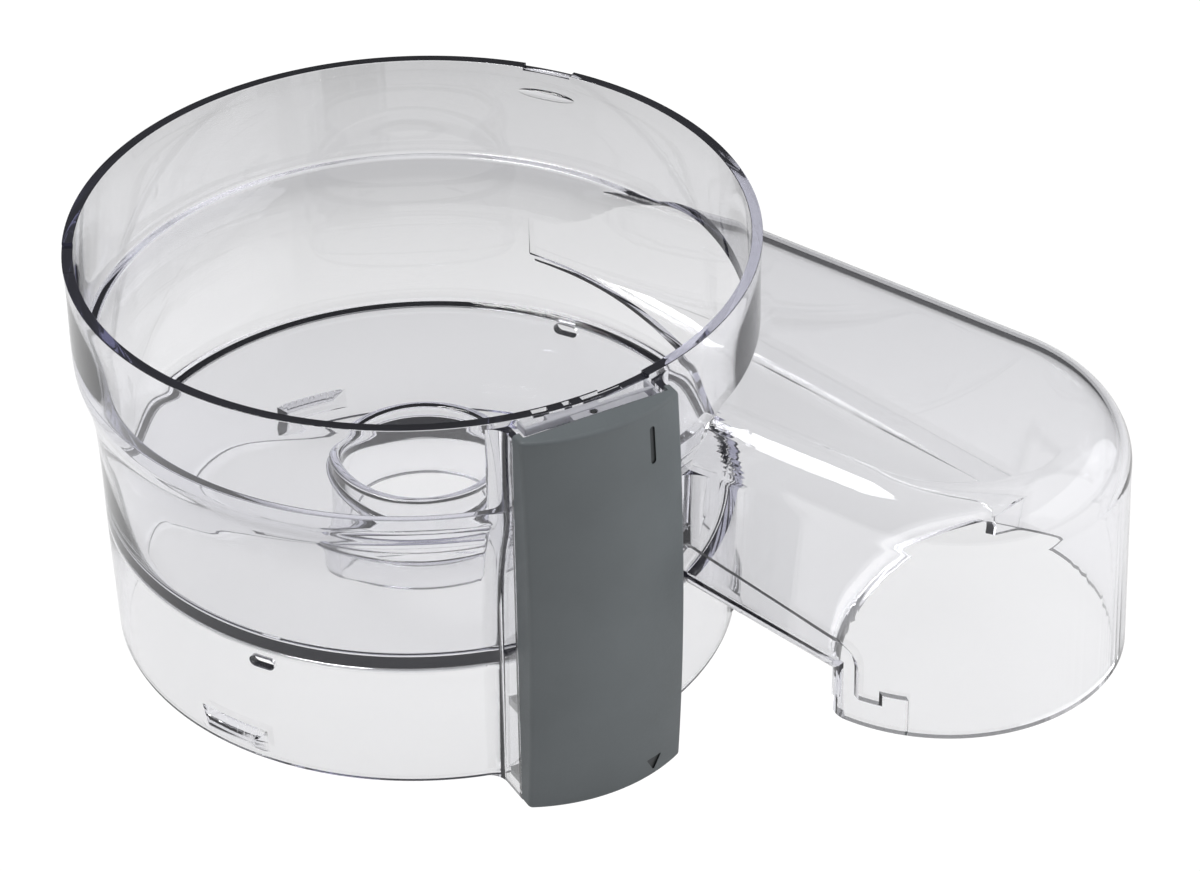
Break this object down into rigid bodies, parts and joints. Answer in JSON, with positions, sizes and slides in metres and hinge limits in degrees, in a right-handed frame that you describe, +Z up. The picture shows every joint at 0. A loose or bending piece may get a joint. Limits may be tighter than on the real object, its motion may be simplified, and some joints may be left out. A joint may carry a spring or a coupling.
{
  "type": "food processor work bowl",
  "caption": "Clear round work bowl of a food processor with a stepped rim, a centre tube, a side discharge chute and a grey handle that holds the lid interlock.",
  "frame": {"origin": "bottom centre of the whole part's bounding box, at the height of the skirt's foot", "axes": "+X along the discharge chute, away from the bowl; +Z up, out of the bowl's mouth"},
  "size_m": [0.3042, 0.2032, 0.127],
  "materials": {
    "clear_plastic": "clear polished polycarbonate",
    "grey_plastic": "fine matte moulded",
    "white_plastic": "satin moulded acetal",
    "dark_plastic": "matte",
    "spring_steel": "bright drawn steel"
  },
  "bodies": {
    "bowl": {"bowl_body": "clear_plastic", "chute_hood": "clear_plastic", "chute_ramp": "clear_plastic", "handle_cover": "grey_plastic", "handle_top_plate": "clear_plastic", "handle_base_cap": "grey_plastic", "rod_guide_upper": "white_plastic", "rod_guide_lower": "white_plastic", "cap_screw_left": "spring_steel", "cap_screw_right": "spring_steel", "rod_spring": "spring_steel"},
    "slider": {"interlock_slider": "clear_plastic", "slider_peg": "dark_plastic"},
    "rod": {"interlock_rod": "white_plastic", "rod_foot": "dark_plastic", "spring_washer": "spring_steel", "rod_clip": "spring_steel"}
  },
  "joints": [
    {"name": "slider_slide", "type": "slide", "parent": "bowl", "child": "slider", "axis": [-0.4399, -0.898, 0], "range_m": [0, 0.008]},
    {"name": "rod_press", "type": "slide", "parent": "bowl", "child": "rod", "axis": [0, 0, -1], "range_m": [0, 0.006], "stiffness_N_per_m": 300, "springref_m": -0.002, "deforming": ["rod_spring"]}
  ],
  "couplings": [
    {"joint": "rod_press", "follows": "slider_slide", "ratio": 0.75}
  ]
}
